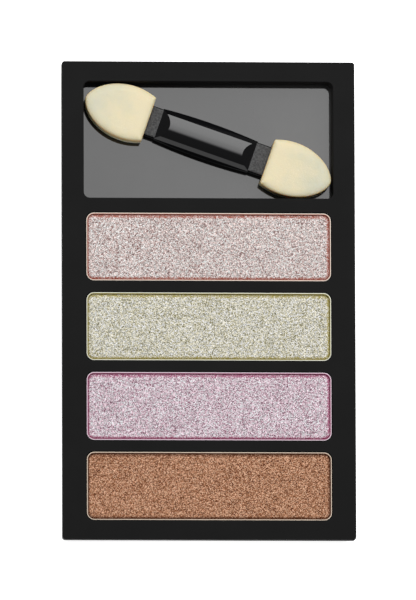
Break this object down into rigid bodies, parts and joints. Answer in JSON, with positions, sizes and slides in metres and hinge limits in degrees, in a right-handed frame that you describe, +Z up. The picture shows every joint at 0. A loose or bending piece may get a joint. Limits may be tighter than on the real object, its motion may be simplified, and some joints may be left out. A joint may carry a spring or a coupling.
{
  "type": "eyeshadow palette",
  "caption": "Slim rectangular eyeshadow palette with long pans of pressed powder in a matte deck and a double-ended sponge applicator lying in a well.",
  "frame": {"origin": "centre of the case outline, on the underside that the case rests on", "axes": "+Z up out of the powders, +Y along the case towards the applicator well, +X along the pans"},
  "size_m": [0.0582, 0.0954, 0.0084],
  "materials": {
    "matte_black_deck": "matte",
    "matte_black_base": "matte",
    "gloss_black_well": "gloss",
    "gloss_black_handle": "gloss",
    "label_paper": "satin",
    "magnet_nickel": "polished",
    "pan_tinplate": "satin",
    "powder_rose": "matte",
    "powder_champagne": "matte",
    "powder_lilac": "matte",
    "powder_bronze": "matte",
    "foam_cream": "matte"
  },
  "bodies": {
    "case": {"top_deck": "matte_black_deck", "base_tray": "matte_black_base", "well_floor": "gloss_black_well", "back_label": "label_paper", "magnet_rose": "magnet_nickel", "magnet_champagne": "magnet_nickel", "magnet_lilac": "magnet_nickel", "magnet_bronze": "magnet_nickel"},
    "applicator": {"applicator_handle": "gloss_black_handle", "foam_left_upper": "foam_cream", "foam_left_lower": "foam_cream", "foam_right_upper": "foam_cream", "foam_right_lower": "foam_cream"},
    "rose_refill": {"pan_rose": "pan_tinplate", "powder_rose": "powder_rose"},
    "champagne_refill": {"pan_champagne": "pan_tinplate", "powder_champagne": "powder_champagne"},
    "lilac_refill": {"pan_lilac": "pan_tinplate", "powder_lilac": "powder_lilac"},
    "bronze_refill": {"pan_bronze": "pan_tinplate", "powder_bronze": "powder_bronze"}
  },
  "joints": [
    {"name": "applicator_lift", "type": "slide", "parent": "case", "child": "applicator", "axis": [0, 0, 1], "range_m": [0, 0.012]},
    {"name": "rose_pan_lift", "type": "slide", "parent": "case", "child": "rose_refill", "axis": [0, 0, 1], "range_m": [0, 0.008]},
    {"name": "champagne_pan_lift", "type": "slide", "parent": "case", "child": "champagne_refill", "axis": [0, 0, 1], "range_m": [0, 0.008]},
    {"name": "lilac_pan_lift", "type": "slide", "parent": "case", "child": "lilac_refill", "axis": [0, 0, 1], "range_m": [0, 0.008]},
    {"name": "bronze_pan_lift", "type": "slide", "parent": "case", "child": "bronze_refill", "axis": [0, 0, 1], "range_m": [0, 0.008]}
  ]
}
